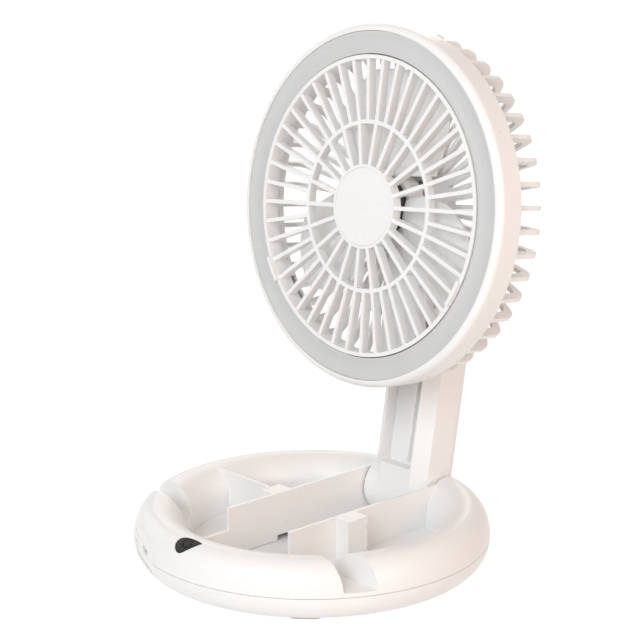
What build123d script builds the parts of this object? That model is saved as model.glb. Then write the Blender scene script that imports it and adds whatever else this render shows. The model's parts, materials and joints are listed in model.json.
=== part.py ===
from build123d import *
import os
from math import acos, atan2, cos, degrees, hypot, radians, sin, sqrt

# Base ring and tray, in millimetres
BASE_R = 89.4
CREST_INSET = 11.4
CREST_Z = 31.0
TRAY_INSET = 26.4
SPLIT_Z = 15.0
FLAT_INSET = 10.9
WALL = 2.0
SEAM = 0.3
FOOT_HEIGHT = 2.0
BOTTOM_THICK = 1.5
TRAY_Z = 8.0
TRAY_THICK = 1.5
SLOT_HALF = 22.0
SLOT_WALL = 1.7
SLOT_WALL_TOP = 29.0
SLOT_WALL_FRONT = -36.0
SLOT_LOW_TOP = 17.3
SLOT_LOW_SINK = 1.5
SLOT_REAR_INSET = 14.9
REAR_SILL_Z = 8.0
PILLAR_OUT = 32.7
PILLAR_Y = (-6.0, 7.0)
PARTITION_Y = (-2.0, -0.4)
PARTITION_TOP = 30.0
PARTITION_INSET = 5.0
WIRE_GATE_Y = (-4.0, 5.0)
NOTCH_Y = (-49.0, -34.5)
NOTCH_Z = 17.0
NOTCH_IN = 18.0

# Feet and screws of the base
FOOT_INSET = 15.4
FOOT_SIZE = (15.0, 6.6)
FOOT_SINK = 0.6
FOOT_ANGLES = (-45.0, -135.0, 135.0, 45.0)
SCREW_INSET = 17.4
BASE_SCREW_ANGLES = (62.0, 118.0, -60.0, -122.0)
BASE_BOSS_R = 3.3
SCREW_PAD_TOP = 5.0

# Charging port
PORT_TURN = -23.0
PORT_SINK = 2.4
PORT_SIZE = (31.0, 13.0)
PORT_PLATE_THICK = 2.0
PORT_INSET = 0.5
USB_SIZE = (9.0, 7.4, 3.3)
CHARGE_BOARD = (20.0, 10.0, 1.6)

# Power button
BUTTON_ANGLE = -87.6
BUTTON_INSET = 6.8
BUTTON_ROUND = 4.2
BUTTON_ROUND_AT = (-2.4, -0.8)
BUTTON_TIP = (6.6, 3.2)
BUTTON_PROUD = 0.5
BUTTON_DEEP = 5.2
SWITCH_GAP = 0.9
SWITCH_BOARD = (20.0, 12.0, 1.4)

# Battery
CELL_R = 7.1
CELL_LENGTH = 50.0
CELL_GAP = 0.6
CELL_ANGLES = (155.0, 25.0)
CRADLE_Y = (-18.0, 18.0)

# Arm and its hinge
HINGE_INSET = 18.4
HINGE_Z = 18.0
HINGE_PIN_R = 3.0
HINGE_PIN_HALF = 30.0
HINGE_BOSS_R = 7.0
BARREL_R = 14.1
BARREL_HALF = 21.0
ARM_LEAN = 9.6
ARM_HALF = 18.8
ARM_BACK_ROUND = 8.0
PIVOT_LENGTH = 111.2
PIVOT_SETBACK = 9.6
ARM_END = 9.0
ARM_NOSE_ROUND = 9.0
RECESS_X = (-13.4, 10.8)
RECESS_DEPTH = 9.0
CHANNEL_DEPTH = 3.0
RECESS_FOOT = 15.0
RECESS_ROUND = 2.5
ARM_SPLIT_X = 7.4
RAIL_THICK = 1.2
RAIL_SPAN = (18.5, 97.5)
ARM_WALL = 2.3
ARM_SCREW_AT = (30.0, 60.0, 90.0)
ARM_SCREW_Y = 4.5

# Tilt joint
FORK_HALF = 12.3
FORK_DROP = 11.0
TONGUE_HALF = 11.2
KNUCKLE_R = 9.0
NECK_HALF = 7.5
TILT_PIN_R = 2.5
CAP_R = 4.5
CAP_THICK = 1.2

# Head
HEAD_R = 90.0
HEAD_TILT = 6.55
HEAD_RISE = 41.1
FIN_GAP = 19.5
HEAD_DEPTH = 34.4
DRUM_FRONT = -2.0
DRUM_DEPTH = 12.5
RIM_WIDTH = 3.6
RIM_ROUND = 3.2
DRUM_WALL = 2.0
DUCT_R = 76.0
DUCT_WALL = 1.4
DUCT_SPAN = (6.9, 12.5)
LIGHT_R = 75.2
LIGHT_FRONT = -1.4
LIGHT_THICK = 1.8
LIGHT_DISH = 1.0
LIGHT_EDGE = 0.7
LEDGE_WIDTH = 1.4
LED_BOARD_R = (79.6, 87.4)
LED_BOARD_THICK = 1.5
LED_COUNT = 24
LED_SIZE = (3.0, 0.8, 3.0)

# Front grille
GRILLE_R = 74.7
GRILLE_LIP = 2.0
GRILLE_FRONT = -1.9
GRILLE_LIP_DEPTH = 8.4
HUB_R = 21.0
HUB_DEPTH = 5.6
MID_RING_R = 43.0
MID_RING_WIDTH = 2.0
MID_RING_FRONT = -0.2
RIB_COUNT = 44
RIB_PHASE = 5.0
RIB_WIDTH = 2.0
RIB_DEPTH = 4.6
GRIP_ANGLES = (-26.5, -146.5)
GRIP_WIDTH = 10.5
GRIP_RISE = 2.1
GRIP_INSET = 0.1
HOOK_ANGLES = (-26.5, -146.5, 93.5)
HOOK_R = (73.0, 74.4)
HOOK_SPAN = (4.0, 11.0)
HOOK_WIDTH = 7.0
BARB_R = 75.7
BARB_SPAN = (9.0, 10.6)
TWIST = 13.0
HUB_CAP_R = 19.4
HUB_CAP_THICK = 1.6
HUB_MARK_AWAY = 14.2
HUB_MARK_R = 2.8
HUB_MARK_LINE = 0.4
HUB_MARK_SINK = 0.25

# Rear grille and bracket
FIN_COUNT = 48
FIN_PHASE = -0.8
FIN_THICK = 2.2
FIN_INSET = 2.2
FIN_LEG = 4.8
FIN_BACK_LEG = 3.8
FIN_ROUND = 8.0
FIN_RING_THICK = 2.4
PLATE_R = 29.0
FIN_ROOT = 0.4
PLATE_THICK = 2.5
SPINE_HALF = 12.0
SPINE_TOP = -27.3
SPINE_END = -91.0
SPINE_THICK = 3.0
TAB_PLATE_HALF = 9.0
TAB_PLATE_TOP = -17.0
TAB_PLATE_THICK = 2.6
GUSSET_OUT = 9.0
GUSSET_DROP = 12.0

# Motor and blades
MOTOR_MOUNT = (26.0, 33.0)
MOTOR_MOUNT_ROUND = 5.0
MOTOR_MOUNT_THICK = 1.3
MOTOR_SCREW_AT = (8.6, 12.6)
CAN_R = 14.0
CAN_WALL = 1.6
CAN_SPAN = (11.0, 27.8)
CORE_R = 11.3
CORE_SPAN = (16.5, 26.0)
POST_R = 4.0
POST_FRONT = 12.9
SHAFT_R = 1.5
SHAFT_FRONT = 9.8
COLLAR_R = 16.4
COLLAR_SPAN = (14.8, 25.5)
BLADE_R = 68.5
BLADE_THICK = 1.4
BLADE_MID = 17.8
BLADE_ANGLES = (96.0, -24.0, 216.0)
BLADE_STEPS = ((15.2, 40.0, 26.0, -5.0), (22.0, 48.0, 24.0, -3.0), (32.0, 56.0, 21.0, -2.0),
               (45.0, 58.0, 19.0, -3.0), (58.0, 50.0, 16.0, -6.0), (69.0, 38.0, 15.0, -9.0))

# Fits
FIXED_GAP = 0.02
RUN_GAP = 0.06
LOOSE_GAP = 0.2
MOVE_GAP = 0.3

# Positions worked out from the sizes above
CREST_R = BASE_R - CREST_INSET
TRAY_R = BASE_R - TRAY_INSET
BASE_FLAT_R = BASE_R - FLAT_INSET
SLOT_LOW_FRONT = -sqrt((TRAY_R + SLOT_LOW_SINK) ** 2 - (SLOT_HALF + SLOT_WALL) ** 2)
SLOT_WALL_REAR = BASE_R - SLOT_REAR_INSET
PARTITION_OUT = CREST_R - PARTITION_INSET
FOOT_R = BASE_R - FOOT_INSET
BASE_SCREW_R = BASE_R - SCREW_INSET
PORT_FLAT = BASE_R - PORT_SINK
BUTTON_R = BASE_R - BUTTON_INSET
CELL_RING_R = TRAY_R + WALL + CELL_R + CELL_GAP
HINGE_Y = BASE_R - HINGE_INSET
TILT_PIN_HALF = ARM_HALF - CAP_THICK - MOVE_GAP
FIN_OUT_R = HEAD_R - FIN_INSET
FLOOR_Z = FOOT_HEIGHT + BOTTOM_THICK
CELL_Z = FLOOR_Z + CELL_R + MOVE_GAP
PIVOT_Y = PIVOT_SETBACK - BARREL_R
PIVOT_DEPTH = HEAD_DEPTH + FIN_GAP
PLATE_FRONT = HEAD_DEPTH - PLATE_THICK
LEAN = radians(ARM_LEAN)
TILT = radians(HEAD_TILT)
PIVOT_WORLD_Y = HINGE_Y + PIVOT_Y * cos(LEAN) + PIVOT_LENGTH * sin(LEAN)
PIVOT_WORLD_Z = HINGE_Z - PIVOT_Y * sin(LEAN) + PIVOT_LENGTH * cos(LEAN)
HEAD_Y = PIVOT_WORLD_Y - PIVOT_DEPTH * cos(TILT) + HEAD_RISE * sin(TILT)
HEAD_Z = PIVOT_WORLD_Z + PIVOT_DEPTH * sin(TILT) + HEAD_RISE * cos(TILT)
ARM_PLACE = Pos(0, HINGE_Y, HINGE_Z) * Rot(-ARM_LEAN, 0, 0)
HEAD_PLACE = Pos(0, HEAD_Y, HEAD_Z) * Rot(-HEAD_TILT, 0, 0)


def block(x0, x1, y0, y1, z0, z1):
    """Box between two corners."""
    return Pos((x0 + x1) / 2, (y0 + y1) / 2, (z0 + z1) / 2) * Box(x1 - x0, y1 - y0, z1 - z0)


def rod_x(radius, x0, x1, y=0.0, z=0.0):
    """Cylinder along X."""
    return Pos((x0 + x1) / 2, y, z) * Rot(0, 90, 0) * Cylinder(radius, x1 - x0)


def rod_y(radius, y0, y1, x=0.0, z=0.0):
    """Cylinder along Y."""
    return Pos(x, (y0 + y1) / 2, z) * Rot(90, 0, 0) * Cylinder(radius, y1 - y0)


def rod_z(radius, z0, z1, x=0.0, y=0.0):
    """Cylinder along Z."""
    return Pos(x, y, (z0 + z1) / 2) * Cylinder(radius, z1 - z0)


def tube_y(outer, inner, y0, y1):
    """Tube along Y."""
    return rod_y(outer, y0, y1) - rod_y(inner, y0 - 1, y1 + 1)


def turn_z(angle):
    """Turn about the upright axis."""
    return Rot(0, 0, angle)


def turn_y(angle):
    """Turn about the head's axis, X towards Z."""
    return Rot(0, -angle, 0)


def sector_y(outer, inner, y0, y1, middle, width):
    """Piece of a tube along Y, width degrees wide."""
    half = radians(width / 2)
    far = outer * 1.5
    wedge = Polyline((0, 0), (far * cos(half), far * sin(half)), (far * cos(half), -far * sin(half)), (0, 0))
    face = make_face(Plane.XZ * wedge)
    solid = Pos(0, y1, 0) * extrude(face, amount=y1 - y0, dir=(0, -1, 0))
    return turn_y(middle) * (tube_y(outer, inner, y0, y1) & solid)


def ring_solid(shrink):
    """Upper half of the base ring with its skin moved inwards."""
    high = CREST_Z - SPLIT_Z - shrink
    outside = EllipticalCenterArc((CREST_R, SPLIT_Z), BASE_R - CREST_R - shrink, high, start_angle=0, arc_size=90)
    inside = EllipticalCenterArc((CREST_R, SPLIT_Z), CREST_R - TRAY_R - shrink, high, start_angle=90, arc_size=90)
    face = make_face([outside, inside, Line(inside @ 1, outside @ 0)])
    return revolve(Plane.XZ * face, Axis.Z)


def bowl_solid(shrink, floor):
    """Lower half of the base, filled from its floor to the split."""
    wide = BASE_R - BASE_FLAT_R - shrink
    side = EllipticalCenterArc((BASE_FLAT_R, SPLIT_Z), wide, SPLIT_Z - floor, start_angle=270, arc_size=90)
    rest = Polyline(side @ 1, (0, SPLIT_Z), (0, floor), side @ 0)
    face = make_face([side, rest])
    return revolve(Plane.XZ * face, Axis.Z)


def ring_cuts(grow):
    """Openings through the ring: rear slot, two finger notches and the port flat."""
    side = grow * SLOT_WALL / WALL
    cuts = [block(-SLOT_HALF - side, SLOT_HALF + side, 0, BASE_R + 10, 0, 60)]
    for x0, x1 in ((NOTCH_IN, BASE_R + 10), (-BASE_R - 10, -NOTCH_IN)):
        cuts.append(block(x0, x1, NOTCH_Y[0] - grow, NOTCH_Y[1] + grow, NOTCH_Z - grow, 60))
    cuts.append(port_flat(grow))
    return cuts


def port_flat(grow):
    """Space outside the flat that carries the port."""
    return turn_z(PORT_TURN) * block(-60, 60, -BASE_R - 10, -PORT_FLAT + grow, 0, 60)


def port_hole():
    """Opening of the port through the flat."""
    half_x = PORT_SIZE[0] / 2
    half_z = PORT_SIZE[1] / 2
    hole = block(-half_x, half_x, -BASE_R, -PORT_FLAT + WALL + 2, SPLIT_Z - half_z, SPLIT_Z + half_z)
    return turn_z(PORT_TURN) * hole


def button_plane():
    """Plane on the ring's skin at the button: x along the ring, y up the slope, z outwards."""
    out = (BUTTON_R - CREST_R) / (BASE_R - CREST_R)
    high = CREST_Z - SPLIT_Z
    rise = high * sqrt(1 - out * out)
    slope_r = out / (BASE_R - CREST_R)
    slope_z = rise / (high * high)
    length = hypot(slope_r, slope_z)
    angle = radians(BUTTON_ANGLE)
    at = (BUTTON_R * cos(angle), BUTTON_R * sin(angle), SPLIT_Z + rise)
    along = (-sin(angle), cos(angle), 0)
    normal = (slope_r / length * cos(angle), slope_r / length * sin(angle), slope_z / length)
    return Plane(origin=at, x_dir=along, z_dir=normal)


def leaf(grow):
    """Outline of the button, a round end drawn out to a tip."""
    dx = BUTTON_TIP[0] - BUTTON_ROUND_AT[0]
    dy = BUTTON_TIP[1] - BUTTON_ROUND_AT[1]
    far = hypot(dx, dy) + 1.6 * grow
    radius = BUTTON_ROUND + grow
    lean = degrees(atan2(dy, dx))
    open_angle = degrees(acos(radius / far))
    tip = Vector(far, 0)
    upper = Vector(radius * cos(radians(open_angle)), radius * sin(radians(open_angle)))
    lower = Vector(upper.X, -upper.Y)
    bulge = Vector(0, 0.5)
    edges = [ThreePointArc(upper, (upper + tip) / 2 + bulge, tip)]
    edges.append(ThreePointArc(tip, (lower + tip) / 2 - bulge, lower))
    edges.append(ThreePointArc(lower, Vector(-radius, 0), upper))
    face = make_face(edges)
    return Pos(BUTTON_ROUND_AT[0], BUTTON_ROUND_AT[1]) * Rot(0, 0, lean) * face


def leaf_prism(grow, low, high):
    """Button outline drawn out between two heights over the ring's skin."""
    return button_plane().location * (Pos(0, 0, low) * extrude(leaf(grow), amount=high - low))


def base_screw_spots():
    """Places of the base screws in plan."""
    spots = []
    for angle in BASE_SCREW_ANGLES:
        spots.append((BASE_SCREW_R * cos(radians(angle)), BASE_SCREW_R * sin(radians(angle))))
    return spots


def make_base_top_shell():
    """White ring and tray in one moulding."""
    skin = ring_solid(0)
    for cut in ring_cuts(0):
        skin -= cut
    hollow = ring_solid(WALL)
    for cut in ring_cuts(WALL):
        hollow -= cut
    shell = skin - hollow
    slot = block(-SLOT_HALF, SLOT_HALF, -BASE_R, BASE_R, 0, 60)
    rear = block(-SLOT_HALF, SLOT_HALF, 0, BASE_R, 0, 60)
    low = TRAY_Z - TRAY_THICK
    collar = rod_z(TRAY_R + WALL, low, SPLIT_Z) - rod_z(TRAY_R, low - 1, SPLIT_Z + 2)
    shell += collar - rear
    shell += rod_z(TRAY_R + 0.5, low, TRAY_Z) - slot
    wall_low = FLOOR_Z + MOVE_GAP
    for side in (-1, 1):
        x0, x1 = sorted((side * SLOT_HALF, side * (SLOT_HALF + SLOT_WALL)))
        shell += block(x0, x1, SLOT_WALL_FRONT, SLOT_WALL_REAR, wall_low, SLOT_WALL_TOP)
        shell += block(x0, x1, SLOT_LOW_FRONT, SLOT_WALL_FRONT, wall_low, SLOT_LOW_TOP)
        x0, x1 = sorted((side * (SLOT_HALF + SLOT_WALL / 2), side * PILLAR_OUT))
        shell += block(x0, x1, PILLAR_Y[0], PILLAR_Y[1], low, SLOT_WALL_TOP)
        x0, x1 = sorted((side * (SLOT_HALF + SLOT_WALL / 2), side * (HINGE_PIN_HALF + 2)))
        shell += rod_x(HINGE_BOSS_R, x0, x1, HINGE_Y, HINGE_Z)
    shell += block(-PARTITION_OUT, -PILLAR_OUT + 1, PARTITION_Y[0], PARTITION_Y[1], low, PARTITION_TOP)
    shell -= block(-SLOT_HALF - SLOT_WALL - 1, -SLOT_HALF + 1, WIRE_GATE_Y[0], WIRE_GATE_Y[1], 0, low)
    reach = HINGE_PIN_HALF + 0.5
    shell -= rod_x(HINGE_PIN_R + FIXED_GAP, -reach, reach, HINGE_Y, HINGE_Z)
    inner_skin = ring_solid(WALL / 2)
    for x, y in base_screw_spots():
        shell += rod_z(BASE_BOSS_R, SCREW_PAD_TOP, SPLIT_Z, x, y)
        shell += rod_z(BASE_BOSS_R, SPLIT_Z, CREST_Z, x, y) & inner_skin
        shell -= rod_z(1.25 + FIXED_GAP, 0, SCREW_PAD_TOP + 9, x, y)
    board_top = -BUTTON_DEEP - SWITCH_GAP - 3.6
    post_x = SWITCH_BOARD[0] / 2 - 2
    post_y = SWITCH_BOARD[1] / 2 - 1.8
    for x, y in ((-post_x, post_y), (post_x, -post_y)):
        shell += (button_plane().location * rod_z(1.6, board_top, 2, x, y)) & inner_skin
    shell -= leaf_prism(MOVE_GAP, -4, 4)
    shell -= port_hole()
    return shell


def make_base_bottom_cover():
    """White bowl under the ring with cradles, pads and posts."""
    cover = bowl_solid(0, FOOT_HEIGHT) - port_flat(0)
    cover -= bowl_solid(WALL, FLOOR_Z) - port_flat(WALL)
    cover -= block(-BASE_R - 5, BASE_R + 5, -BASE_R - 5, BASE_R + 5, SPLIT_Z - SEAM, SPLIT_Z + 1)
    for angle in CELL_ANGLES:
        for y in CRADLE_Y:
            cradle = block(CELL_RING_R - 5, CELL_RING_R + 5, y - 2, y + 2, FLOOR_Z - 0.5, CELL_Z - 4)
            cradle -= along_ring(CELL_R + 0.1, CELL_LENGTH + 2)
            cover += turn_z(angle) * cradle
    post_top = SPLIT_Z - USB_SIZE[2] / 2 - CHARGE_BOARD[2]
    for x0, x1 in ((-9.5, -6.5), (6.5, 9.5)):
        post = block(x0, x1, -PORT_FLAT + 7, -PORT_FLAT + 12, FLOOR_Z - 0.5, post_top)
        cover += turn_z(PORT_TURN) * post
    for x, y in base_screw_spots():
        cover += rod_z(4.2, FLOOR_Z - 0.5, SCREW_PAD_TOP, x, y)
        cover -= rod_z(2.7, 0, FOOT_HEIGHT + 1.6, x, y)
        cover -= rod_z(1.25 + LOOSE_GAP, 0, SCREW_PAD_TOP + 1, x, y)
    for angle in FOOT_ANGLES:
        cover -= foot_solid(angle, 0.1)
    cover -= rod_x(BARREL_R + MOVE_GAP, -SLOT_HALF, SLOT_HALF, HINGE_Y, HINGE_Z)
    cover -= block(-SLOT_HALF, SLOT_HALF, HINGE_Y, BASE_R + 5, REAR_SILL_Z, SPLIT_Z + 1)
    cover -= port_hole()
    return cover


def along_ring(radius, length):
    """Cylinder lying along the ring at angle zero."""
    return Pos(CELL_RING_R, 0, CELL_Z) * Rot(90, 0, 0) * Cylinder(radius, length)


def foot_solid(angle, grow):
    """Rounded pad under the base."""
    long = FOOT_SIZE[0] + 2 * grow
    wide = FOOT_SIZE[1] + 2 * grow
    face = RectangleRounded(wide, long, wide / 2 - 0.05)
    solid = extrude(face, amount=FOOT_HEIGHT + FOOT_SINK)
    return turn_z(angle) * Pos(FOOT_R, 0, 0) * solid


def make_base_screws():
    """Four screws that close the base."""
    screws = []
    for x, y in base_screw_spots():
        head = rod_z(2.5, FOOT_HEIGHT + 0.2, FOOT_HEIGHT + 1.6, x, y)
        screws.append(head + rod_z(1.25, FOOT_HEIGHT + 1.5, SCREW_PAD_TOP + 8, x, y))
    return Compound(children=screws)


def make_port_panel():
    """Inset plate round the charging socket."""
    half_x = PORT_SIZE[0] / 2 - LOOSE_GAP
    half_z = PORT_SIZE[1] / 2 - LOOSE_GAP
    front = -PORT_FLAT + PORT_INSET
    plate = block(-half_x, half_x, front, front + PORT_PLATE_THICK, SPLIT_Z - half_z, SPLIT_Z + half_z)
    plate = fillet(plate.edges().filter_by(Axis.Y), 1.2)
    half_u = USB_SIZE[0] / 2 + LOOSE_GAP
    half_v = USB_SIZE[2] / 2 + LOOSE_GAP
    hole = block(-half_u, half_u, front - 1, front + PORT_PLATE_THICK + 1, SPLIT_Z - half_v, SPLIT_Z + half_v)
    hole = fillet(hole.edges().filter_by(Axis.Y), half_v - 0.1)
    return turn_z(PORT_TURN) * (plate - hole)


def make_usb_socket():
    """Metal socket with its tongue."""
    half_u = USB_SIZE[0] / 2
    half_v = USB_SIZE[2] / 2
    front = -PORT_FLAT + PORT_INSET + 0.2
    can = block(-half_u, half_u, front, front + USB_SIZE[1], SPLIT_Z - half_v, SPLIT_Z + half_v)
    can = fillet(can.edges().filter_by(Axis.Y), half_v - 0.1)
    mouth = block(-half_u + 0.35, half_u - 0.35, front - 1, front + 5, SPLIT_Z - half_v + 0.35, SPLIT_Z + half_v - 0.35)
    mouth = fillet(mouth.edges().filter_by(Axis.Y), half_v - 0.5)
    tongue = block(-3.2, 3.2, front + 0.8, front + 5.2, SPLIT_Z - 0.35, SPLIT_Z + 0.35)
    return turn_z(PORT_TURN) * (can - mouth + tongue)


def make_charge_board():
    """Circuit board that carries the socket."""
    top = SPLIT_Z - USB_SIZE[2] / 2
    front = -PORT_FLAT + PORT_INSET + PORT_PLATE_THICK + 0.2
    half = CHARGE_BOARD[0] / 2
    board = block(-half, half, front, front + CHARGE_BOARD[1], top - CHARGE_BOARD[2], top)
    return turn_z(PORT_TURN) * board


def make_switch_board():
    """Small board under the power button."""
    top = -BUTTON_DEEP - SWITCH_GAP - 3.6
    half_x = SWITCH_BOARD[0] / 2
    half_y = SWITCH_BOARD[1] / 2
    board = block(-half_x, half_x, -half_y, half_y, top - SWITCH_BOARD[2], top)
    return button_plane().location * board


def make_tact_switch():
    """Push switch with a round plunger."""
    top = -BUTTON_DEEP - SWITCH_GAP
    body = block(-3, 3, -3, 3, top - 3.6, top - 1)
    return button_plane().location * (body + rod_z(1.7, top - 1.2, top))


def make_power_button():
    """Leaf shaped key with a flange under the shell."""
    key = leaf_prism(0, -BUTTON_DEEP, 4) & ring_solid(-BUTTON_PROUD)
    return key + leaf_prism(0.9, -BUTTON_DEEP, -BUTTON_DEEP + 1)


def make_battery_cell(angle):
    """Round cell lying in the ring."""
    cell = along_ring(CELL_R, CELL_LENGTH)
    nub = Pos(CELL_RING_R, CELL_LENGTH / 2 + 0.5, CELL_Z) * Rot(90, 0, 0) * Cylinder(3, 1.4)
    return turn_z(angle) * (cell + nub)


def make_base_hinge_pin():
    """Steel pin across the arm's foot."""
    return rod_x(HINGE_PIN_R, -HINGE_PIN_HALF, HINGE_PIN_HALF, HINGE_Y, HINGE_Z)


def make_hinge_washer(side):
    """Friction washer between the arm and a slot wall."""
    x0, x1 = sorted((side * (BARREL_HALF + 0.1), side * (SLOT_HALF - 0.1)))
    washer = rod_x(9, x0, x1, HINGE_Y, HINGE_Z)
    return washer - rod_x(HINGE_PIN_R + FIXED_GAP, x0 - 1, x1 + 1, HINGE_Y, HINGE_Z)


def arm_solid():
    """Whole arm in its own frame: hinge at the origin, length along Z, back along Y."""
    top = PIVOT_LENGTH + ARM_END
    post = block(-ARM_HALF, ARM_HALF, -BARREL_R, BARREL_R, 0, top)
    uprights = post.edges().filter_by(Axis.Z).sort_by(Axis.Y)
    post = fillet(uprights[2:], ARM_BACK_ROUND)
    front_top = post.edges().filter_by(Axis.X).group_by(Axis.Y)[0].sort_by(Axis.Z)[-1]
    post = fillet(front_top, ARM_NOSE_ROUND)
    crown = post.faces().sort_by(Axis.Z)[-1]
    back_top = crown.edges().filter_by(Axis.X).sort_by(Axis.Y)[-1]
    post = chamfer(back_top, ARM_BACK_ROUND - 0.2, 5.0)
    post += rod_x(BARREL_R, -BARREL_HALF, BARREL_HALF)
    floor = -BARREL_R + RECESS_DEPTH
    recess = block(RECESS_X[0], RECESS_X[1], -BARREL_R - 5, floor, RECESS_FOOT, top + 5)
    recess_foot = recess.edges().filter_by(Axis.Y).group_by(Axis.Z)[0]
    post -= fillet(recess_foot, RECESS_ROUND)
    channel_floor = -BARREL_R + CHANNEL_DEPTH
    post += block(ARM_SPLIT_X, RECESS_X[1] + 0.5, channel_floor, floor + 0.5, RECESS_FOOT - 0.5, RAIL_SPAN[1])
    back = floor + ARM_WALL
    cavity_top = PIVOT_LENGTH - FORK_DROP - ARM_WALL
    cavity = block(-ARM_HALF + ARM_WALL, ARM_HALF - ARM_WALL, back, BARREL_R - ARM_WALL, 18, cavity_top)
    cavity = fillet(cavity.edges().filter_by(Axis.Z).sort_by(Axis.Y)[2:], ARM_BACK_ROUND - ARM_WALL)
    for z in ARM_SCREW_AT:
        cavity -= rod_x(3.2, -ARM_HALF, ARM_HALF, ARM_SCREW_Y, z)
    post -= cavity
    rail = block(ARM_SPLIT_X - RAIL_THICK, ARM_SPLIT_X, -BARREL_R + 0.2, floor + 0.5, RAIL_SPAN[0], RAIL_SPAN[1])
    rail_toe = rail.edges().filter_by(Axis.X).group_by(Axis.Y)[0].sort_by(Axis.Z)[0]
    post += fillet(rail_toe, 3.0)
    post -= block(-FORK_HALF, FORK_HALF, -30, 30, PIVOT_LENGTH - FORK_DROP, top + 5)
    post -= rod_x(HINGE_PIN_R + RUN_GAP, -BARREL_HALF - 1, BARREL_HALF + 1)
    post -= rod_x(TILT_PIN_R + RUN_GAP, -ARM_HALF - 1, ARM_HALF + 1, PIVOT_Y, PIVOT_LENGTH)
    for x0, x1 in ((-ARM_HALF - 1, -ARM_HALF + CAP_THICK), (ARM_HALF - CAP_THICK, ARM_HALF + 1)):
        post -= rod_x(CAP_R + 0.05, x0, x1, PIVOT_Y, PIVOT_LENGTH)
    for z in ARM_SCREW_AT:
        post -= rod_x(1.2 + FIXED_GAP, -ARM_HALF - 1, ARM_HALF - 4, ARM_SCREW_Y, z)
        post -= rod_x(2.4, -ARM_HALF - 1, -ARM_HALF + 1.7, ARM_SCREW_Y, z)
    return post


def make_arm_shell(left):
    """One moulding of the arm, cut along the seam."""
    x0, x1 = (-60, ARM_SPLIT_X) if left else (ARM_SPLIT_X, 60)
    return ARM_PLACE * (arm_solid() & block(x0, x1, -60, 60, -60, 200))


def make_arm_screws():
    """Three screws across the arm."""
    screws = []
    for z in ARM_SCREW_AT:
        head = rod_x(2.3, -ARM_HALF + 0.2, -ARM_HALF + 1.7, ARM_SCREW_Y, z)
        screws.append(ARM_PLACE * (head + rod_x(1.2, -ARM_HALF + 1.6, ARM_HALF - 5, ARM_SCREW_Y, z)))
    return Compound(children=screws)


def make_tilt_cap(side):
    """Cap over an end of the tilt pin."""
    x0, x1 = sorted((side * (ARM_HALF - CAP_THICK), side * ARM_HALF))
    return ARM_PLACE * rod_x(CAP_R, x0, x1, PIVOT_Y, PIVOT_LENGTH)


def make_tilt_pin():
    """Steel pin across the fork."""
    return ARM_PLACE * rod_x(TILT_PIN_R, -TILT_PIN_HALF, TILT_PIN_HALF, PIVOT_Y, PIVOT_LENGTH)


def make_tilt_washer(side):
    """Friction washer between the fork and the tongue."""
    x0, x1 = sorted((side * (TONGUE_HALF + 0.15), side * (FORK_HALF - 0.15)))
    washer = rod_x(7.5, x0, x1, PIVOT_Y, PIVOT_LENGTH)
    return ARM_PLACE * (washer - rod_x(TILT_PIN_R + FIXED_GAP, x0 - 1, x1 + 1, PIVOT_Y, PIVOT_LENGTH))


def make_head_shell():
    """White drum with its back wall and air duct."""
    inner = HEAD_R - DRUM_WALL
    rim_in = HEAD_R - RIM_WIDTH
    ledge = LIGHT_FRONT + LIGHT_THICK
    drum = tube_y(HEAD_R, inner, ledge, DRUM_DEPTH) + tube_y(HEAD_R, rim_in, DRUM_FRONT, ledge + 1.6)
    rim = drum.edges().filter_by(GeomType.CIRCLE).group_by(Axis.Y)[0]
    drum = fillet(rim.sort_by(SortBy.RADIUS)[-1], RIM_ROUND)
    drum += tube_y(inner + 0.5, DUCT_R - DUCT_WALL, DRUM_DEPTH - DRUM_WALL, DRUM_DEPTH)
    drum += tube_y(DUCT_R, DUCT_R - DUCT_WALL, DUCT_SPAN[0], DUCT_SPAN[1])
    drum += tube_y(inner + 0.5, rim_in - LEDGE_WIDTH, ledge, ledge + 1.6)
    for angle in fin_screw_angles():
        drum -= turn_y(angle) * rod_y(1.0 + FIXED_GAP, 0, 40, FIN_OUT_R - FIN_LEG / 2)
    slot_back = BARB_SPAN[1] + LOOSE_GAP
    for angle in HOOK_ANGLES:
        run = HOOK_WIDTH + TWIST + 1
        drum -= sector_y(DUCT_R + 1, DUCT_R - 3, BARB_SPAN[0] - LOOSE_GAP, slot_back, angle + TWIST / 2, run)
        drum -= sector_y(DUCT_R + 1, DUCT_R - 3, DUCT_SPAN[0] - 1, slot_back, angle + TWIST, HOOK_WIDTH + 1)
    return HEAD_PLACE * drum


def make_light_ring():
    """Frosted ring lens round the front guard, dished between its edges."""
    outer = HEAD_R - RIM_WIDTH - 0.1
    lens = tube_y(outer, LIGHT_R, LIGHT_FRONT, LIGHT_FRONT + LIGHT_THICK)
    start = (LIGHT_R + LIGHT_EDGE, LIGHT_FRONT)
    end = (outer - LIGHT_EDGE, LIGHT_FRONT)
    dish = ThreePointArc(start, ((LIGHT_R + outer) / 2, LIGHT_FRONT + LIGHT_DISH), end)
    front = Polyline(end, (end[0], LIGHT_FRONT - 1), (start[0], LIGHT_FRONT - 1), start)
    lens -= revolve(make_face([dish, front]), Axis.Y)
    return HEAD_PLACE * lens


def led_board_front():
    """Depth of the face that carries the lamps."""
    return DRUM_DEPTH - DRUM_WALL - 0.1 - LED_BOARD_THICK


def make_led_board():
    """Ring board behind the lens."""
    front = led_board_front()
    return HEAD_PLACE * tube_y(LED_BOARD_R[1], LED_BOARD_R[0], front, front + LED_BOARD_THICK)


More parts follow.
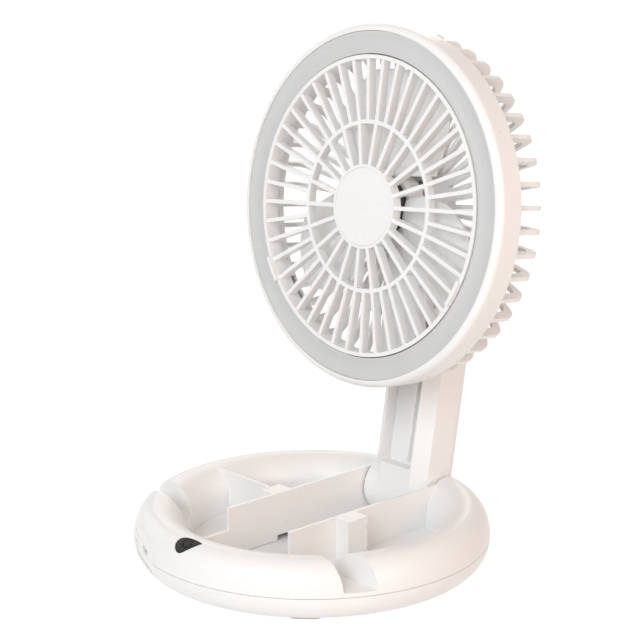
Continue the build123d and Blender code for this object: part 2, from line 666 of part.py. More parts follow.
def make_led_chips():
    """Lamps spread round the ring board."""
    front = led_board_front()
    middle = sum(LED_BOARD_R) / 2
    chips = []
    for k in range(LED_COUNT):
        chip = Pos(middle, front - LED_SIZE[1] / 2, 0) * Box(*LED_SIZE)
        chips.append(HEAD_PLACE * turn_y((k + 0.5) * 360 / LED_COUNT) * chip)
    return Compound(children=chips)


def rib(inner, outer, front_in, front_out, angle):
    """Upright radial bar of the front grille."""
    points = [(inner, front_in), (outer, front_out), (outer, front_out + RIB_DEPTH), (inner, front_in + RIB_DEPTH)]
    face = make_face(Polyline(*points, close=True))
    return turn_y(angle) * extrude(face, amount=RIB_WIDTH / 2, both=True)


def make_front_grille():
    """White guard: hub, middle ring, lip with raised grips and bayonet hooks, and radial ribs."""
    lip_in = GRILLE_R - GRILLE_LIP
    lip = tube_y(GRILLE_R, lip_in, GRILLE_FRONT, GRILLE_FRONT + GRILLE_LIP_DEPTH)
    hub_front = GRILLE_FRONT - 0.2
    hub = rod_y(HUB_R, hub_front, hub_front + HUB_DEPTH)
    hub -= rod_y(HUB_CAP_R + 0.1, hub_front - 1, hub_front + HUB_CAP_THICK)
    middle = tube_y(MID_RING_R, MID_RING_R - MID_RING_WIDTH, MID_RING_FRONT, MID_RING_FRONT + RIB_DEPTH)
    mid_r = MID_RING_R - MID_RING_WIDTH / 2
    parts = [hub, middle]
    for k in range(RIB_COUNT):
        angle = RIB_PHASE + k * 360 / RIB_COUNT
        parts.append(rib(mid_r, GRILLE_R - 0.6, MID_RING_FRONT, GRILLE_FRONT + 0.8, angle))
        if k % 2 == 0:
            parts.append(rib(HUB_R - 1, mid_r, hub_front + 0.6, MID_RING_FRONT, angle))
    for angle in GRIP_ANGLES:
        grip_in = lip_in + GRIP_INSET
        grip_front = GRILLE_FRONT - GRIP_RISE
        parts.append(sector_y(GRILLE_R - GRIP_INSET, grip_in, grip_front, GRILLE_FRONT + 1, angle, GRIP_WIDTH))
    for angle in HOOK_ANGLES:
        parts.append(sector_y(HOOK_R[1], HOOK_R[0], HOOK_SPAN[0], HOOK_SPAN[1], angle, HOOK_WIDTH))
        parts.append(sector_y(BARB_R, HOOK_R[0] + 0.4, BARB_SPAN[0], BARB_SPAN[1], angle, HOOK_WIDTH))
    return HEAD_PLACE * (lip + parts)


def make_hub_cap():
    """Plain disc in the hub with five shallow moulding marks."""
    front = GRILLE_FRONT - 0.2
    cap = rod_y(HUB_CAP_R, front, front + HUB_CAP_THICK)
    away = HUB_MARK_AWAY
    for x, z in ((0, 0), (away, 0), (-away, 0), (0, away), (0, -away)):
        mark = tube_y(HUB_MARK_R, HUB_MARK_R - HUB_MARK_LINE, front - 1, front + HUB_MARK_SINK)
        cap -= Pos(x, 0, z) * mark
    return HEAD_PLACE * cap


def fin_angles():
    """Angles of the rear fins."""
    return [FIN_PHASE + k * 360 / FIN_COUNT for k in range(FIN_COUNT)]


def fin_screw_angles():
    """Angles of the rear grille screws, midway between fins."""
    step = 360 / FIN_COUNT
    return [FIN_PHASE + (k + 0.5) * step for k in (6, 18, 30, 42)]


def fin(angle):
    """Bent fin: a leg along the drum, a rounded corner and a leg across the back."""
    out = FIN_OUT_R
    leg = FIN_OUT_R - FIN_LEG
    back = HEAD_DEPTH
    start = DRUM_DEPTH + 0.1
    inner_round = FIN_ROUND - FIN_BACK_LEG + 0.6
    front = back - FIN_BACK_LEG
    root = PLATE_R - FIN_ROOT
    outside = CenterArc((out - FIN_ROUND, back - FIN_ROUND), FIN_ROUND, 0, 90)
    inside = CenterArc((leg - inner_round, front - inner_round), inner_round, 90, -90)
    edges = [Line((out, start), outside @ 0), outside, Line(outside @ 1, (root, back))]
    edges.append(Line((root, back), (root, front)))
    edges.append(Line((root, front), inside @ 0))
    edges.append(inside)
    edges.append(Polyline(inside @ 1, (leg, start), (out, start)))
    face = make_face(edges)
    return turn_y(angle) * extrude(face, amount=FIN_THICK / 2, both=True)


def make_rear_grille():
    """White rear guard: foot ring, bent fins and a closed centre plate."""
    start = DRUM_DEPTH + 0.1
    ring = tube_y(FIN_OUT_R, FIN_OUT_R - FIN_LEG, start, start + FIN_RING_THICK)
    plate = rod_y(PLATE_R, PLATE_FRONT, HEAD_DEPTH)
    fins = []
    for angle in fin_angles():
        off = (angle + 90 + 180) % 360 - 180
        if abs(off) > 9.4:
            fins.append(fin(angle))
    guard = ring + [plate] + fins
    clear = SPINE_HALF + LOOSE_GAP
    guard -= block(-clear, clear, PLATE_FRONT - 10, HEAD_DEPTH + 5, SPINE_END - 5, SPINE_TOP + LOOSE_GAP)
    for angle in fin_screw_angles():
        guard -= turn_y(angle) * rod_y(1.0 + LOOSE_GAP, 0, 40, FIN_OUT_R - FIN_LEG / 2)
    for x, z in bracket_screw_spots():
        guard -= rod_y(1.0 + LOOSE_GAP, PLATE_FRONT - 1, HEAD_DEPTH + 1, x, z)
        guard -= rod_y(2.3, HEAD_DEPTH - 1.4, HEAD_DEPTH + 1, x, z)
    for x, z in motor_screw_spots():
        guard -= rod_y(1.0 + FIXED_GAP, PLATE_FRONT - 1, HEAD_DEPTH - 0.4, x, z)
    return HEAD_PLACE * guard


def bracket_screw_spots():
    """Places of the bracket screws on the centre plate."""
    return [(-5.5, SPINE_TOP + 5), (5.5, SPINE_TOP + 5)]


def motor_screw_spots():
    """Places of the motor screws near the corners of the motor mount."""
    wide, high = MOTOR_SCREW_AT
    return [(wide, high), (-wide, high), (-wide, -high), (wide, -high)]


def small_screw(depth_head, depth_tip, x, z):
    """Small screw driven forwards from the back."""
    head = rod_y(2.1, depth_head - 1.3, depth_head, x, z)
    return head + rod_y(1.0, depth_tip, depth_head - 1.2, x, z)


def make_rear_grille_screws():
    """Four screws that hold the rear guard to the drum."""
    seat = DRUM_DEPTH + 0.1 + FIN_RING_THICK
    tip = DRUM_DEPTH - DRUM_WALL + 0.2
    screws = []
    for angle in fin_screw_angles():
        screw = small_screw(seat + 1.3, tip, FIN_OUT_R - FIN_LEG / 2, 0)
        screws.append(HEAD_PLACE * turn_y(angle) * screw)
    return Compound(children=screws)


def make_head_bracket():
    """Spine across the fins with the neck and knuckle of the tilt joint."""
    spine = block(-SPINE_HALF, SPINE_HALF, HEAD_DEPTH - SPINE_THICK, HEAD_DEPTH, SPINE_END, SPINE_TOP)
    spine = fillet(spine.edges().filter_by(Axis.Y).group_by(Axis.Z)[0], 6.0)
    tab_low = SPINE_TOP - 3
    half = TAB_PLATE_HALF
    spine += block(-half, half, PLATE_FRONT - TAB_PLATE_THICK, PLATE_FRONT, tab_low, TAB_PLATE_TOP)
    pivot_z = -HEAD_RISE
    neck = block(-TONGUE_HALF, TONGUE_HALF, HEAD_DEPTH - 1, PIVOT_DEPTH, pivot_z - NECK_HALF, pivot_z + NECK_HALF)
    neck += rod_x(KNUCKLE_R, -TONGUE_HALF, TONGUE_HALF, PIVOT_DEPTH, pivot_z)
    low = pivot_z - NECK_HALF
    foot = low - GUSSET_DROP
    web = Polyline((HEAD_DEPTH - 1, low + 1), (HEAD_DEPTH + GUSSET_OUT, low + 1), (HEAD_DEPTH, foot),
                   (HEAD_DEPTH - 1, foot), close=True)
    gusset = extrude(make_face(Plane.YZ * web), amount=TONGUE_HALF - 2, both=True)
    bracket = spine + [neck, gusset]
    bracket -= rod_x(TILT_PIN_R + RUN_GAP, -TONGUE_HALF - 1, TONGUE_HALF + 1, PIVOT_DEPTH, pivot_z)
    for x, z in bracket_screw_spots():
        bracket -= rod_y(1.0 + FIXED_GAP, PLATE_FRONT - TAB_PLATE_THICK - 1, PLATE_FRONT + 1, x, z)
    return HEAD_PLACE * bracket


def make_bracket_screws():
    """Two screws that hold the bracket to the centre plate."""
    tip = PLATE_FRONT - TAB_PLATE_THICK + 0.2
    spots = bracket_screw_spots()
    return Compound(children=[HEAD_PLACE * small_screw(HEAD_DEPTH - 0.1, tip, x, z) for x, z in spots])


def make_motor_mount():
    """Mount of the motor on the centre plate."""
    face = Plane.XZ * RectangleRounded(MOTOR_MOUNT[0], MOTOR_MOUNT[1], MOTOR_MOUNT_ROUND)
    board = Pos(0, PLATE_FRONT, 0) * extrude(face, amount=MOTOR_MOUNT_THICK, dir=(0, -1, 0))
    for x, z in motor_screw_spots():
        board -= rod_y(1.0 + LOOSE_GAP, PLATE_FRONT - 5, PLATE_FRONT + 1, x, z)
    return HEAD_PLACE * board


def make_motor_stator():
    """Wound core on its bearing post."""
    seat = PLATE_FRONT - MOTOR_MOUNT_THICK
    stator = rod_y(9, seat - 1.4, seat) + rod_y(POST_R, POST_FRONT, seat)
    core = rod_y(CORE_R, CORE_SPAN[0], CORE_SPAN[1])
    for k in range(9):
        core -= turn_y(k * 40) * block(POST_R + 3, CORE_R + 1, CORE_SPAN[0] - 1, CORE_SPAN[1] + 1, -0.7, 0.7)
    stator += core
    return HEAD_PLACE * (stator - rod_y(SHAFT_R + RUN_GAP, POST_FRONT - 1, seat - 0.6))


def make_motor_screws():
    """Four screws that hold the motor mount, driven from the front."""
    seat = PLATE_FRONT - MOTOR_MOUNT_THICK
    screws = []
    for x, z in motor_screw_spots():
        head = rod_y(2.1, seat - 1.3, seat, x, z)
        screws.append(HEAD_PLACE * (head + rod_y(1.0, seat - 0.1, HEAD_DEPTH - 0.6, x, z)))
    return Compound(children=screws)


def make_rotor_can():
    """Black cup of the motor that carries the blades."""
    can = rod_y(CAN_R, CAN_SPAN[0], CAN_SPAN[1])
    can -= rod_y(CAN_R - CAN_WALL, CAN_SPAN[0] + 1.5, CAN_SPAN[1] + 1)
    can -= rod_y(SHAFT_R + FIXED_GAP, CAN_SPAN[0] - 1, CAN_SPAN[1])
    return HEAD_PLACE * can


def make_motor_shaft():
    """Steel shaft of the rotor."""
    return HEAD_PLACE * rod_y(SHAFT_R, SHAFT_FRONT, PLATE_FRONT - MOTOR_MOUNT_THICK - 1)


def blade_section(radius, chord, pitch, sweep):
    """Thin cambered strip across a blade, moved along the turn by its sweep."""
    half = chord / 2
    thin = BLADE_THICK / 2
    camber = chord * 0.06
    edges = [ThreePointArc((-half, thin), (0, camber + thin), (half, thin)), Line((half, thin), (half, -thin))]
    edges.append(ThreePointArc((half, -thin), (0, camber - thin), (-half, -thin)))
    edges.append(Line((-half, -thin), (-half, thin)))
    face = make_face(edges)
    plane = Plane(origin=(radius, BLADE_MID, 0), x_dir=(0, 0, 1), z_dir=(1, 0, 0))
    return plane.location * (Pos(sweep, 0) * Rot(0, 0, pitch) * face)


def make_fan_blade():
    """Three blades on a collar round the motor."""
    sections = [blade_section(*step) for step in BLADE_STEPS]
    blade = loft(sections) & rod_y(BLADE_R, 0, HEAD_DEPTH)
    blade -= rod_y(CAN_R + 1, 0, HEAD_DEPTH)
    collar = tube_y(COLLAR_R, CAN_R + FIXED_GAP, COLLAR_SPAN[0], COLLAR_SPAN[1])
    return HEAD_PLACE * (collar + [turn_y(angle) * blade for angle in BLADE_ANGLES])


def build_all():
    """Every sub-component by its node name."""
    nodes = {"base_top_shell": make_base_top_shell(), "base_bottom_cover": make_base_bottom_cover()}
    for k, angle in enumerate(FOOT_ANGLES):
        nodes["rubber_foot_%d" % (k + 1)] = foot_solid(angle, 0)
    nodes["base_screws"] = make_base_screws()
    nodes["port_panel"] = make_port_panel()
    nodes["usb_socket"] = make_usb_socket()
    nodes["charge_board"] = make_charge_board()
    nodes["switch_board"] = make_switch_board()
    nodes["tact_switch"] = make_tact_switch()
    nodes["power_button"] = make_power_button()
    for name, angle in zip(("left", "right"), CELL_ANGLES):
        nodes["battery_cell_" + name] = make_battery_cell(angle)
    nodes["base_hinge_pin"] = make_base_hinge_pin()
    for name, side in (("left", -1), ("right", 1)):
        nodes["hinge_washer_" + name] = make_hinge_washer(side)
        nodes["arm_" + name + "_shell"] = make_arm_shell(side < 0)
        nodes["tilt_cap_" + name] = make_tilt_cap(side)
        nodes["tilt_washer_" + name] = make_tilt_washer(side)
    nodes["arm_screws"] = make_arm_screws()
    nodes["tilt_pin"] = make_tilt_pin()
    nodes["head_shell"] = make_head_shell()
    nodes["light_ring"] = make_light_ring()
    nodes["led_board"] = make_led_board()
    nodes["led_chips"] = make_led_chips()
    nodes["rear_grille"] = make_rear_grille()
    nodes["rear_grille_screws"] = make_rear_grille_screws()
    nodes["head_bracket"] = make_head_bracket()
    nodes["bracket_screws"] = make_bracket_screws()
    nodes["motor_mount"] = make_motor_mount()
    nodes["motor_stator"] = make_motor_stator()
    nodes["motor_screws"] = make_motor_screws()
    nodes["front_grille"] = make_front_grille()
    nodes["hub_cap"] = make_hub_cap()
    nodes["rotor_can"] = make_rotor_can()
    nodes["motor_shaft"] = make_motor_shaft()
    nodes["fan_blade"] = make_fan_blade()
    return nodes


os.makedirs("parts", exist_ok=True)
for node, shape in build_all().items():
    export_step(shape, "parts/%s.step" % node)
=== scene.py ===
import json
import math
import bmesh
import bpy
from mathutils import Matrix, Vector
from mathutils.bvhtree import BVHTree


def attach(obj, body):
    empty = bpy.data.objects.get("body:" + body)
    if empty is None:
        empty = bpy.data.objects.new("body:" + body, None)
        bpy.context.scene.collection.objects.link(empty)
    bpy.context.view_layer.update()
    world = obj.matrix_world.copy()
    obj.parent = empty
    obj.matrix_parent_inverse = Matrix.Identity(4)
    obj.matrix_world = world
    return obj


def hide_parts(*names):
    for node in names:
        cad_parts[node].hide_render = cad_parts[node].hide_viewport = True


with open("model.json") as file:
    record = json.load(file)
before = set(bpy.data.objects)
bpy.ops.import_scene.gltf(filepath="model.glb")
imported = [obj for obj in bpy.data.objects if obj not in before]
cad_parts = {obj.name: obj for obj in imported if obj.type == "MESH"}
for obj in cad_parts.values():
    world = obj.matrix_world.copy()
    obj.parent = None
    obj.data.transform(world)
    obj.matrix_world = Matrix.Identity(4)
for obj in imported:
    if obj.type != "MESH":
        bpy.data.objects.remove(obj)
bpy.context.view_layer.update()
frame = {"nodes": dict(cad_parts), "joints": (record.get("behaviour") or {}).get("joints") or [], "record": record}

# Camera at the photograph's angle, metres and pixels
CAMERA_AT = Vector((0.6052, -0.5549, 0.3259))
CAMERA_TARGET = Vector((-0.0004, 0.0058, 0.1225))
FOCAL_PIXELS = 1729.0
IMAGE_PIXELS = 640.0
SENSOR = 36.0

# Studio light, watts and metres
LAMP_SIZE = 0.8
LAMP_TARGET = (0, 0, 0.12)
LAMPS = (
    ("front_lamp", (0.5, -1.3, 0.8), 12.4, (0.82, 0.935, 1.0)),
    ("front_left_lamp", (-0.7, -1.2, 0.9), 1.3, (0.6, 0.8, 1.0)),
    ("right_lamp", (1.4, -0.1, 0.6), 6.1, (1.0, 0.79, 0.69)),
    ("left_back_lamp", (-1.0, 0.9, 0.8), 2.4, (1.0, 1.0, 1.0)),
    ("left_lamp", (-1.4, 0, 0.6), 1.6, (0.95, 1.0, 0.9)),
)
AMBIENT = (0.46, 0.39, 0.345)
FLOOR_HALF = 6.0
FLOOR_GLOW = 1.2
FLOOR_GLOW_PART = 0.8
FLOOR_COLOUR = (0.9, 0.9, 0.9)
FLOOR_ROUGHNESS = 0.9

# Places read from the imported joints
JOINTS = {joint["name"]: joint for joint in frame["joints"]}
HEAD_AXIS = Vector(JOINTS["rotor_spin"]["axis"])

# Shading
SHARP_ANGLE = math.radians(32)
FLAT_ANGLE = math.radians(0.05)
MERGE = 2e-6
EDGE_SEGMENTS = 2

# Grain of the finishes, in waves per metre and bump strength
BLOTCH_DETAIL = 3.0
GRAIN_DETAIL = 2.0
BLOTCH_BAND = (0.35, 0.65)
GLOSS_BAND = (0.3, 0.7)
GRAIN_DEPTH = 0.0001
SHELL_BLOTCH_SCALE = 18.0
SHELL_GLOSS_SCALE = 40.0
SHELL_GLOSS = (0.27, 0.33)
MOULD_GRAIN = (220.0, 0.02)
BLADE_BLOTCH_SCALE = 30.0
BLADE_PASS = 0.6
BLADE_PASS_DEPTH = 0.004
PLAIN_BLOTCH_SCALE = 70.0
PLAIN_GRAIN = (1200.0, 0.1)

# Cross recess of the screws
CROSS_REACH = 0.0028
CROSS_WIDTH = 0.0007
CROSS_DEPTH = 0.0008

# Power symbol sunk into the key
SYMBOL_R = 0.0026
SYMBOL_LINE = 0.00065
SYMBOL_SINK = 0.00022
SYMBOL_LIFT = 0.0008
SYMBOL_TURN = math.radians(42)
SYMBOL_RISE = 0.0011
SYMBOL_GAP = math.radians(70)
SYMBOL_STEPS = 40
BAR_SPAN = (0.0006, 0.0036)
BAR_STEPS = 8


def new_finish(name, colour, roughness):
    """Material with a Principled shader; returns it with its node tree and shader."""
    finish = bpy.data.materials.new(name)
    finish.use_nodes = True
    tree = finish.node_tree
    shader = tree.nodes["Principled BSDF"]
    shader.inputs["Base Color"].default_value = (*colour, 1)
    shader.inputs["Roughness"].default_value = roughness
    return finish, tree, shader


def add_noise(tree, scale, detail):
    """Noise texture on Object coordinates."""
    coordinates = tree.nodes.new("ShaderNodeTexCoord")
    noise = tree.nodes.new("ShaderNodeTexNoise")
    noise.inputs["Scale"].default_value = scale
    noise.inputs["Detail"].default_value = detail
    tree.links.new(coordinates.outputs["Object"], noise.inputs["Vector"])
    return noise


def vary_colour(tree, shader, scale, low, high):
    """Blotchy change between two near colours."""
    noise = add_noise(tree, scale, BLOTCH_DETAIL)
    ramp = tree.nodes.new("ShaderNodeValToRGB")
    ramp.color_ramp.elements[0].position = BLOTCH_BAND[0]
    ramp.color_ramp.elements[0].color = (*low, 1)
    ramp.color_ramp.elements[1].position = BLOTCH_BAND[1]
    ramp.color_ramp.elements[1].color = (*high, 1)
    tree.links.new(noise.outputs["Fac"], ramp.inputs["Fac"])
    tree.links.new(ramp.outputs["Color"], shader.inputs["Base Color"])


def vary_roughness(tree, shader, scale, low, high):
    """Uneven gloss between two roughness values."""
    noise = add_noise(tree, scale, BLOTCH_DETAIL)
    span = tree.nodes.new("ShaderNodeMapRange")
    span.inputs["From Min"].default_value = GLOSS_BAND[0]
    span.inputs["From Max"].default_value = GLOSS_BAND[1]
    span.inputs["To Min"].default_value = low
    span.inputs["To Max"].default_value = high
    tree.links.new(noise.outputs["Fac"], span.inputs["Value"])
    tree.links.new(span.outputs["Result"], shader.inputs["Roughness"])


def add_grain(tree, shader, scale, strength):
    """Fine moulding grain as bump."""
    noise = add_noise(tree, scale, GRAIN_DETAIL)
    bump = tree.nodes.new("ShaderNodeBump")
    bump.inputs["Strength"].default_value = strength
    bump.inputs["Distance"].default_value = GRAIN_DEPTH
    tree.links.new(noise.outputs["Fac"], bump.inputs["Height"])
    tree.links.new(bump.outputs["Normal"], shader.inputs["Normal"])


def white_shell_finish():
    """Gloss white ABS of the base, arm and head."""
    finish, tree, shader = new_finish("white_shell", (0.9, 0.892, 0.884), 0.3)
    vary_colour(tree, shader, SHELL_BLOTCH_SCALE, (0.897, 0.889, 0.881), (0.903, 0.895, 0.887))
    vary_roughness(tree, shader, SHELL_GLOSS_SCALE, *SHELL_GLOSS)
    add_grain(tree, shader, *MOULD_GRAIN)
    return finish


def blade_finish():
    """White plastic of the blades, thin enough to pass some light."""
    finish, tree, shader = new_finish("blade_white", (0.9, 0.89, 0.87), 0.35)
    shader.inputs["Subsurface Weight"].default_value = BLADE_PASS
    shader.inputs["Subsurface Radius"].default_value = (1, 1, 1)
    shader.inputs["Subsurface Scale"].default_value = BLADE_PASS_DEPTH
    vary_colour(tree, shader, BLADE_BLOTCH_SCALE, (0.895, 0.885, 0.865), (0.905, 0.895, 0.875))
    add_grain(tree, shader, *MOULD_GRAIN)
    return finish


def plain_finish(name, colour, roughness, metallic=0.0, blotch=0.05, shine=0.5):
    """Simple finish with a little blotch and grain."""
    finish, tree, shader = new_finish(name, colour, roughness)
    shader.inputs["Metallic"].default_value = metallic
    shader.inputs["Specular IOR Level"].default_value = shine
    low = tuple(c * (1 - blotch) for c in colour)
    high = tuple(min(1.0, c * (1 + blotch)) for c in colour)
    vary_colour(tree, shader, PLAIN_BLOTCH_SCALE, low, high)
    add_grain(tree, shader, *PLAIN_GRAIN)
    return finish


FINISHES = {
    "shell_white": white_shell_finish(),
    "lens_grey": plain_finish("frosted_lens", (0.62, 0.62, 0.617), 0.5, blotch=0.012),
    "key_grey": plain_finish("key_grey", (0.024, 0.023, 0.022), 0.5, shine=0.25),
    # Near-black painted shade for the groove faces of the power symbol, darker than the key itself
    "key_groove_painted_shade": plain_finish("key_groove_painted_shade", (0.005, 0.005, 0.005), 0.6, shine=0.2),
    "foot_rubber": plain_finish("foot_rubber", (0.72, 0.70, 0.68), 0.8),
    "steel": plain_finish("plain_steel", (0.55, 0.55, 0.56), 0.35, 1.0),
    "board_green": plain_finish("board_green", (0.06, 0.22, 0.10), 0.5),
    "switch_black": plain_finish("switch_black", (0.05, 0.05, 0.05), 0.5),
    "cell_wrap": plain_finish("cell_wrap", (0.10, 0.20, 0.45), 0.3),
    "lamp": plain_finish("lamp", (0.92, 0.86, 0.62), 0.3),
    "washer": plain_finish("washer", (0.2, 0.2, 0.21), 0.6),
    "motor_black": plain_finish("motor_black", (0.03, 0.03, 0.03), 0.35),
    "core": plain_finish("wound_core", (0.42, 0.2, 0.09), 0.4),
    "blade_white": blade_finish(),
}
FINISHES["grille_white"] = FINISHES["shell_white"]
OWN_FINISH = {"usb_socket": plain_finish("socket_pale", (0.85, 0.84, 0.83), 0.4)}


def soften(bm, width):
    """Rounds every sharp edge a little."""
    sharp = []
    for edge in bm.edges:
        if len(edge.link_faces) == 2 and edge.calc_face_angle(0.0) > SHARP_ANGLE:
            sharp.append(edge)
    bmesh.ops.bevel(bm, geom=sharp, offset=width, offset_type="OFFSET", segments=EDGE_SEGMENTS, profile=0.5,
                    affect="EDGES", clamp_overlap=True, material=-1)


def make_piece(name, bm, slot, body, *nodes):
    """Piece from a bmesh that stands for CAD nodes and rides on a body."""
    mesh = bpy.data.meshes.new(name)
    bm.to_mesh(mesh)
    bm.free()
    mesh.shade_smooth()
    mesh.set_sharp_from_angle(angle=SHARP_ANGLE)
    mesh.materials.append(FINISHES[slot])
    piece = bpy.data.objects.new(name, mesh)
    bpy.context.scene.collection.objects.link(piece)
    steady = piece.modifiers.new("steady", "WEIGHTED_NORMAL")
    steady.keep_sharp = True
    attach(piece, body)
    if nodes:
        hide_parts(*nodes)
    return piece


def merged(node):
    """Copy of a CAD node with its loose triangles joined."""
    bm = bmesh.new()
    bm.from_mesh(frame["nodes"][node].data)
    bmesh.ops.remove_doubles(bm, verts=bm.verts, dist=MERGE)
    return bm


def softened(node, width):
    """Copy of a CAD node with rounded edges."""
    bm = merged(node)
    bmesh.ops.dissolve_limit(bm, angle_limit=FLAT_ANGLE, verts=bm.verts, edges=bm.edges)
    soften(bm, width)
    return bm


def scene_object(name, bm):
    """Object in the scene from a bmesh."""
    mesh = bpy.data.meshes.new(name)
    bm.to_mesh(mesh)
    bm.free()
    obj = bpy.data.objects.new(name, mesh)
    bpy.context.scene.collection.objects.link(obj)
    return obj


def cut_away(bm, cutter):
    """Mesh with the volume of a cutter taken out, whose faces become material 1."""
    for face in cutter.faces:
        face.material_index = 1
    body = scene_object("cut_body", bm)
    tool = scene_object("cut_tool", cutter)
    cut = body.modifiers.new("cut", "BOOLEAN")
    cut.operation = "DIFFERENCE"
    cut.solver = "EXACT"
    cut.use_self = True
    cut.object = tool
    done = bmesh.new()
    done.from_object(body, bpy.context.evaluated_depsgraph_get())
    for obj in (body, tool):
        mesh = obj.data
        bpy.data.objects.remove(obj)
        bpy.data.meshes.remove(mesh)
    return done


def loose_parts(bm):
    """Vertices of each loose part."""
    parts = []
    seen = set()
    for start in bm.verts:
        if start in seen:
            continue
        seen.add(start)
        part = [start]
        for vert in part:
            for edge in vert.link_edges:
                other = edge.other_vert(vert)
                if other not in seen:
                    seen.add(other)
                    part.append(other)
        parts.append(part)
    return parts


def head_tops(bm, outward):
    """Middle of the outermost face of each loose screw."""
    tops = []
    for part in loose_parts(bm):
        reach = max(vert.co.dot(outward) for vert in part)
        rim = [vert.co for vert in part if vert.co.dot(outward) > reach - MERGE]
        tops.append(sum(rim, Vector()) / len(rim))
    return tops


def crossed_screws(node, outward):
    """Screws of a CAD node with a cross recess in each head."""
    bm = merged(node)
    turn = outward.to_track_quat("Z", "Y").to_matrix().to_4x4()
    cutter = bmesh.new()
    for top in head_tops(bm, outward):
        for size in ((CROSS_REACH, CROSS_WIDTH), (CROSS_WIDTH, CROSS_REACH)):
            arm = Matrix.Diagonal((*size, 2 * CROSS_DEPTH, 1))
            bmesh.ops.create_cube(cutter, size=1.0, matrix=Matrix.Translation(top) @ turn @ arm)
    make_piece(node + "_crossed", cut_away(bm, cutter), SLOT_OF[node], BODY_OF[node], node)


def power_symbol(key, outward):
    """Cutter for a ring with a gap and a bar, following the key's skin."""
    along = Vector((0, 0, 1)).cross(outward).normalized()
    up = outward.cross(along)
    middle = Vector()
    for axis in (along, up):
        places = [vert.co.dot(axis) for vert in key.verts]
        middle += axis * (min(places) + max(places)) / 2
    top = max(vert.co.dot(outward) for vert in key.verts)
    middle += outward * (top + SYMBOL_LIFT) + up * SYMBOL_RISE
    bm = bmesh.new()
    ends = [bm.verts.new((SYMBOL_R + side * SYMBOL_LINE / 2, 0, 0)) for side in (-1, 1)]
    start = bm.edges.new(ends)
    bmesh.ops.rotate(bm, verts=ends, matrix=Matrix.Rotation(SYMBOL_GAP / 2, 3, "Z"))
    bmesh.ops.spin(bm, geom=[*ends, start], axis=(0, 0, 1), cent=(0, 0, 0), angle=2 * math.pi - SYMBOL_GAP,
                   steps=SYMBOL_STEPS)
    bar = Matrix.Translation((sum(BAR_SPAN) / 2, 0, 0))
    bar = bar @ Matrix.Diagonal((BAR_SPAN[1] - BAR_SPAN[0], SYMBOL_LINE, 1, 1))
    bmesh.ops.create_grid(bm, x_segments=BAR_STEPS, y_segments=1, size=0.5, matrix=bar)
    bmesh.ops.rotate(bm, verts=bm.verts, matrix=Matrix.Rotation(SYMBOL_TURN, 3, "Z"))
    skin = BVHTree.FromBMesh(key)
    for vert in bm.verts:
        hit = skin.ray_cast(middle + along * vert.co.x + up * vert.co.y, -outward)[0]
        vert.co = hit - outward * SYMBOL_SINK
    lifted = bmesh.ops.extrude_face_region(bm, geom=bm.faces[:])["geom"]
    raised = [item for item in lifted if isinstance(item, bmesh.types.BMVert)]
    bmesh.ops.translate(bm, verts=raised, vec=outward * (SYMBOL_SINK + SYMBOL_LIFT))
    bmesh.ops.recalc_face_normals(bm, faces=bm.faces)
    return bm


RECORD = frame["record"]
BODY_OF = {node: body for body, nodes in RECORD["behaviour"]["bodies"].items() for node in nodes}
SLOT_OF = {part["node"]: part["material_slot"] for part in RECORD["subparts"]}
EDGE = {
    "base_top_shell": 0.0004,
    "base_bottom_cover": 0.0003,
    "arm_left_shell": 0.0005,
    "arm_right_shell": 0.0005,
    "head_shell": 0.0004,
    "front_grille": 0.0004,
    "rear_grille": 0.0005,
    "hub_cap": 0.0001,
    "head_bracket": 0.0005,
    "light_ring": 0.0002,
    "port_panel": 0.0003,
    "fan_blade": 0.0003,
}
KEY_EDGE = 0.0003
KEY_OUT = -Vector(JOINTS["button_press"]["axis"])
SCREW_OUT = {
    "arm_screws": Vector((-1, 0, 0)),
    "base_screws": Vector((0, 0, -1)),
    "rear_grille_screws": -HEAD_AXIS,
    "bracket_screws": -HEAD_AXIS,
    "motor_screws": HEAD_AXIS,
}

for node, width in EDGE.items():
    make_piece(node + "_soft", softened(node, width), SLOT_OF[node], BODY_OF[node], node)
for node, outward in SCREW_OUT.items():
    crossed_screws(node, outward)
key = softened("power_button", KEY_EDGE)
marked = cut_away(key, power_symbol(key, KEY_OUT))
marked_key = make_piece("power_key", marked, "key_grey", "button", "power_button")
# The groove faces of the power symbol (material 1) get the near-black painted shade
marked_key.data.materials.append(FINISHES["key_groove_painted_shade"])
REPLACED = (*EDGE, *SCREW_OUT, "power_button")
for node, obj in frame["nodes"].items():
    if node not in REPLACED:
        obj.data.materials.clear()
        obj.data.materials.append(OWN_FINISH.get(node, FINISHES[SLOT_OF[node]]))


def any_of(tree, outputs):
    """Largest of several outputs, which are 0 or 1."""
    result = outputs[0]
    for output in outputs[1:]:
        larger = tree.nodes.new("ShaderNodeMath")
        larger.operation = "MAXIMUM"
        tree.links.new(result, larger.inputs[0])
        tree.links.new(output, larger.inputs[1])
        result = larger.outputs[0]
    return result


def seen_white(tree):
    """1 where a camera, mirror or glass ray arrives."""
    path = tree.nodes.new("ShaderNodeLightPath")
    kinds = ("Is Camera Ray", "Is Glossy Ray", "Is Transmission Ray")
    return any_of(tree, [path.outputs[kind] for kind in kinds])


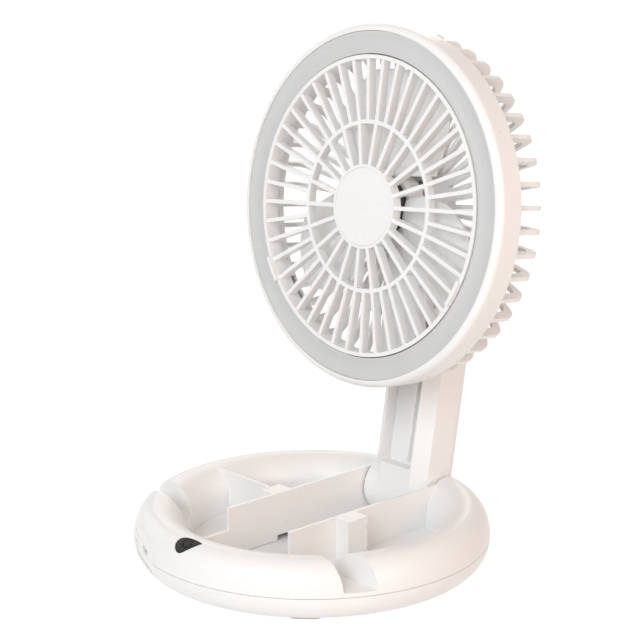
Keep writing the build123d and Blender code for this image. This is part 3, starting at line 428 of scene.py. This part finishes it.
def add_floor():
    """White floor that keeps a faint shadow."""
    bm = bmesh.new()
    bmesh.ops.create_grid(bm, x_segments=1, y_segments=1, size=FLOOR_HALF)
    mesh = bpy.data.meshes.new("floor")
    bm.to_mesh(mesh)
    bm.free()
    floor = bpy.data.objects.new("floor", mesh)
    bpy.context.scene.collection.objects.link(floor)
    finish, tree, shader = new_finish("floor_white", FLOOR_COLOUR, FLOOR_ROUGHNESS)
    glow = tree.nodes.new("ShaderNodeEmission")
    glow.inputs["Strength"].default_value = FLOOR_GLOW
    mix = tree.nodes.new("ShaderNodeMixShader")
    weight = tree.nodes.new("ShaderNodeMath")
    weight.operation = "MULTIPLY"
    weight.inputs[1].default_value = FLOOR_GLOW_PART
    tree.links.new(seen_white(tree), weight.inputs[0])
    tree.links.new(weight.outputs[0], mix.inputs["Fac"])
    tree.links.new(shader.outputs["BSDF"], mix.inputs[1])
    tree.links.new(glow.outputs["Emission"], mix.inputs[2])
    tree.links.new(mix.outputs["Shader"], tree.nodes["Material Output"].inputs["Surface"])
    mesh.materials.append(finish)


def add_world():
    """Even warm light that looks white itself."""
    world = bpy.data.worlds.new("studio")
    bpy.context.scene.world = world
    world.use_nodes = True
    tree = world.node_tree
    ambient = tree.nodes["Background"]
    ambient.inputs["Color"].default_value = (*AMBIENT, 1)
    ambient.inputs["Strength"].default_value = 1.0
    backdrop = tree.nodes.new("ShaderNodeBackground")
    backdrop.inputs["Color"].default_value = (1, 1, 1, 1)
    mix = tree.nodes.new("ShaderNodeMixShader")
    tree.links.new(seen_white(tree), mix.inputs["Fac"])
    tree.links.new(ambient.outputs["Background"], mix.inputs[1])
    tree.links.new(backdrop.outputs["Background"], mix.inputs[2])
    tree.links.new(mix.outputs["Shader"], tree.nodes["World Output"].inputs["Surface"])


def add_lamp(name, place, target, size, watts, colour):
    """Square soft lamp aimed at a point."""
    lamp = bpy.data.lights.new(name, "AREA")
    lamp.size = size
    lamp.energy = watts
    lamp.color = colour
    obj = bpy.data.objects.new(name, lamp)
    obj.location = place
    obj.rotation_euler = (Vector(target) - Vector(place)).to_track_quat("-Z", "Y").to_euler()
    bpy.context.scene.collection.objects.link(obj)


def add_camera():
    """Camera fitted to the photograph."""
    data = bpy.data.cameras.new("camera")
    data.sensor_width = SENSOR
    data.lens = FOCAL_PIXELS / IMAGE_PIXELS * SENSOR
    camera = bpy.data.objects.new("camera", data)
    camera.location = CAMERA_AT
    camera.rotation_euler = (CAMERA_TARGET - CAMERA_AT).to_track_quat("-Z", "Y").to_euler()
    bpy.context.scene.collection.objects.link(camera)
    bpy.context.scene.camera = camera


add_floor()
add_world()
for name, place, watts, colour in LAMPS:
    add_lamp(name, place, LAMP_TARGET, LAMP_SIZE, watts, colour)
add_camera()
bpy.context.scene.view_settings.view_transform = "Standard"
